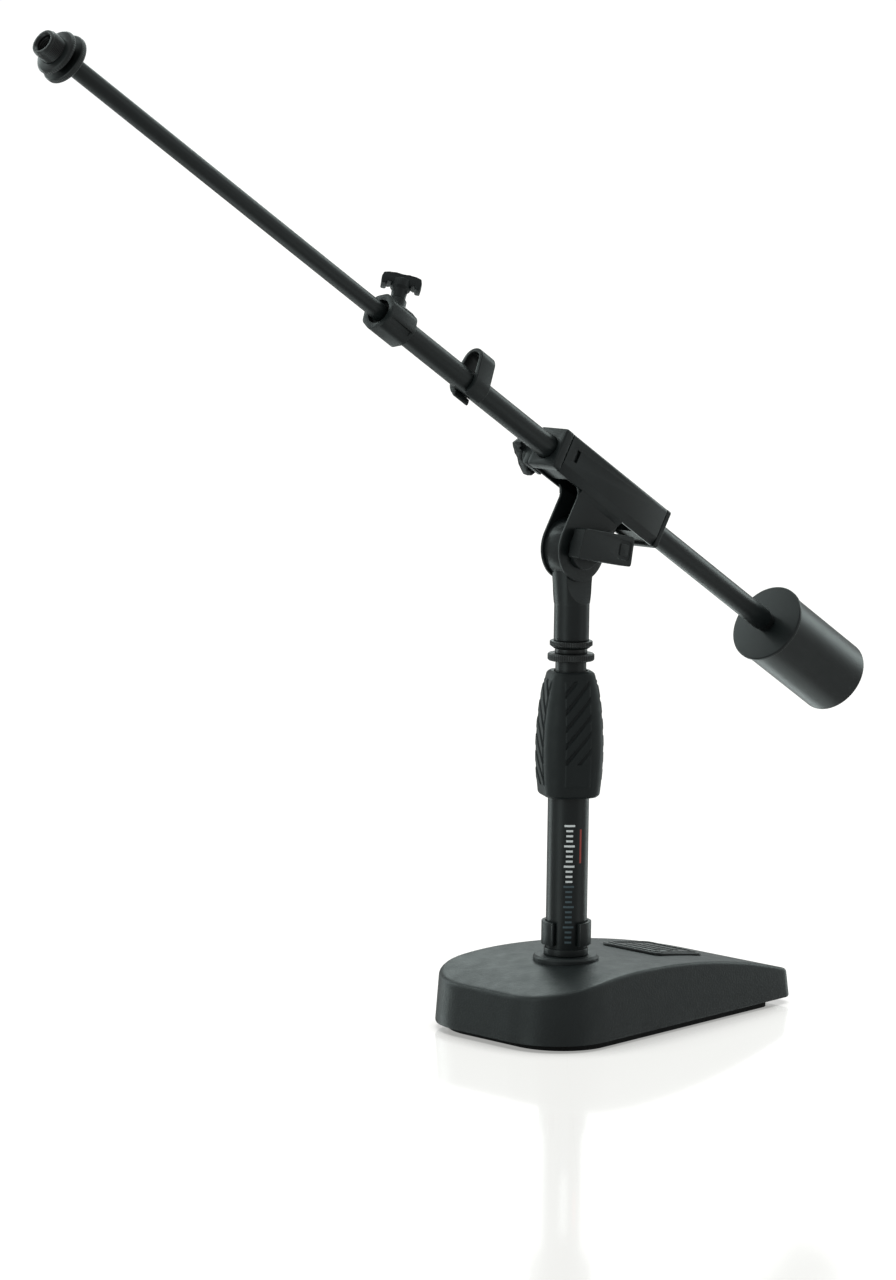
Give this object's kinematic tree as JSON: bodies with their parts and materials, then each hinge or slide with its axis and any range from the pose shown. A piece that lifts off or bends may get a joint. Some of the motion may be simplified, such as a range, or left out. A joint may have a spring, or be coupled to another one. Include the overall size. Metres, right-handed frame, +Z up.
{
  "type": "boom microphone stand",
  "caption": "Short microphone stand: weighted wedge base, telescopic mast with twist grip, and a tilting telescopic boom with a screw-on counterweight.",
  "frame": {"origin": "where the mast axis meets the surface the base rests on", "axes": "+X along the base towards its narrow tail, +Z up; the boom lies in the XZ plane with its tip over -X"},
  "size_m": [0.6807, 0.1258, 0.6029],
  "materials": {
    "cast_base": "satin textured black powder coat",
    "black_metal": "satin black powder coat",
    "black_steel": "black zinc plated, satin",
    "bright_steel": "zinc plated",
    "black_plastic": "matte moulded",
    "rubber_grip": "ribbed soft rubber",
    "rubber_foot": "matte",
    "badge": "satin grey relief"
  },
  "bodies": {
    "base": {"base_casting": "cast_base", "base_plinth": "rubber_foot", "ballast_plate": "bright_steel", "ballast_screws": "bright_steel", "mast_plug": "bright_steel", "mast_nut": "bright_steel", "mast_washer": "bright_steel", "mast_flange": "black_plastic", "badge_plate": "badge", "lower_tube": "black_metal", "foot_collar": "black_plastic", "clutch_collar": "black_plastic", "clutch_collet": "black_plastic"},
    "mast_clip": {"mast_cable_clip": "black_plastic"},
    "grip": {"grip_core": "black_plastic", "grip_sleeve": "rubber_grip"},
    "mast": {"upper_tube": "black_metal", "mast_guide_bush": "black_plastic", "mast_stud": "black_steel"},
    "mast_ring": {"mast_lock_ring": "black_steel"},
    "head": {"swivel_head": "black_metal"},
    "bracket": {"boom_bracket": "black_metal", "front_insert": "black_plastic", "rear_insert": "black_plastic", "friction_washers": "rubber_foot", "pivot_bolt": "black_steel"},
    "lever": {"tilt_lever": "black_plastic", "lever_nut": "bright_steel"},
    "lock_knob": {"boom_lock_knob": "black_plastic", "boom_lock_screw": "bright_steel"},
    "boom": {"boom_outer_tube": "black_metal", "boom_clutch_body": "black_plastic", "clutch_gland": "black_plastic", "weight_stud": "black_steel"},
    "extension": {"boom_inner_tube": "black_metal", "inner_guide_bush": "black_plastic", "tip_adapter": "black_steel"},
    "knob": {"clutch_knob": "black_plastic", "clutch_screw": "bright_steel"},
    "cable_clip": {"boom_cable_clip": "black_plastic"},
    "tip_ring": {"tip_lock_ring": "black_steel"},
    "weight": {"counterweight": "black_metal"}
  },
  "joints": [
    {"name": "mast_height", "type": "slide", "parent": "base", "child": "mast", "axis": [0, 0, 1], "range_m": [0, 0.11]},
    {"name": "mast_clip_slide", "type": "slide", "parent": "base", "child": "mast_clip", "axis": [0, 0, 1], "range_m": [0, 0.075]},
    {"name": "grip_twist", "type": "hinge", "parent": "base", "child": "grip", "pos_m": [0, 0, 0.18], "axis": [0, 0, 1], "range_deg": [0, 180]},
    {"name": "mast_ring_turn", "type": "hinge", "parent": "mast", "child": "mast_ring", "pos_m": [0, 0, 0.238], "axis": [0, 0, 1], "range_deg": [-360, 0]},
    {"name": "head_swivel", "type": "hinge", "parent": "mast", "child": "head", "pos_m": [0, 0, 0.25], "axis": [0, 0, 1], "range_deg": [-180, 180]},
    {"name": "boom_tilt", "type": "hinge", "parent": "head", "child": "bracket", "pos_m": [0, 0, 0.2973], "axis": [0, 1, 0], "range_deg": [-51, 35]},
    {"name": "lever_turn", "type": "hinge", "parent": "bracket", "child": "lever", "pos_m": [0, -0.015, 0.2973], "axis": [0, 1, 0], "range_deg": [-120, 0]},
    {"name": "lock_knob_turn", "type": "hinge", "parent": "bracket", "child": "lock_knob", "pos_m": [-0.02006, 0.018, 0.35322], "axis": [0, 1, 0], "range_deg": [-180, 0]},
    {"name": "boom_slide", "type": "slide", "parent": "bracket", "child": "boom", "axis": [-0.8572, 0, 0.515], "range_m": [-0.04, 0.12]},
    {"name": "extension_slide", "type": "slide", "parent": "boom", "child": "extension", "axis": [-0.8572, 0, 0.515], "range_m": [-0.21, 0.09]},
    {"name": "clutch_knob_turn", "type": "hinge", "parent": "boom", "child": "knob", "pos_m": [-0.14616, 0.00436, 0.45403], "axis": [0.4997, 0.2419, 0.8317], "range_deg": [0, 180]},
    {"name": "cable_clip_slide", "type": "slide", "parent": "boom", "child": "cable_clip", "axis": [-0.8572, 0, 0.515], "range_m": [-0.028, 0.055]},
    {"name": "tip_ring_turn", "type": "hinge", "parent": "extension", "child": "tip_ring", "pos_m": [-0.40802, 0, 0.59099], "axis": [-0.8572, 0, 0.515], "range_deg": [0, 360]},
    {"name": "weight_turn", "type": "hinge", "parent": "boom", "child": "weight", "pos_m": [0.21429, 0, 0.21707], "axis": [-0.8572, 0, 0.515], "range_deg": [0, 360]}
  ]
}
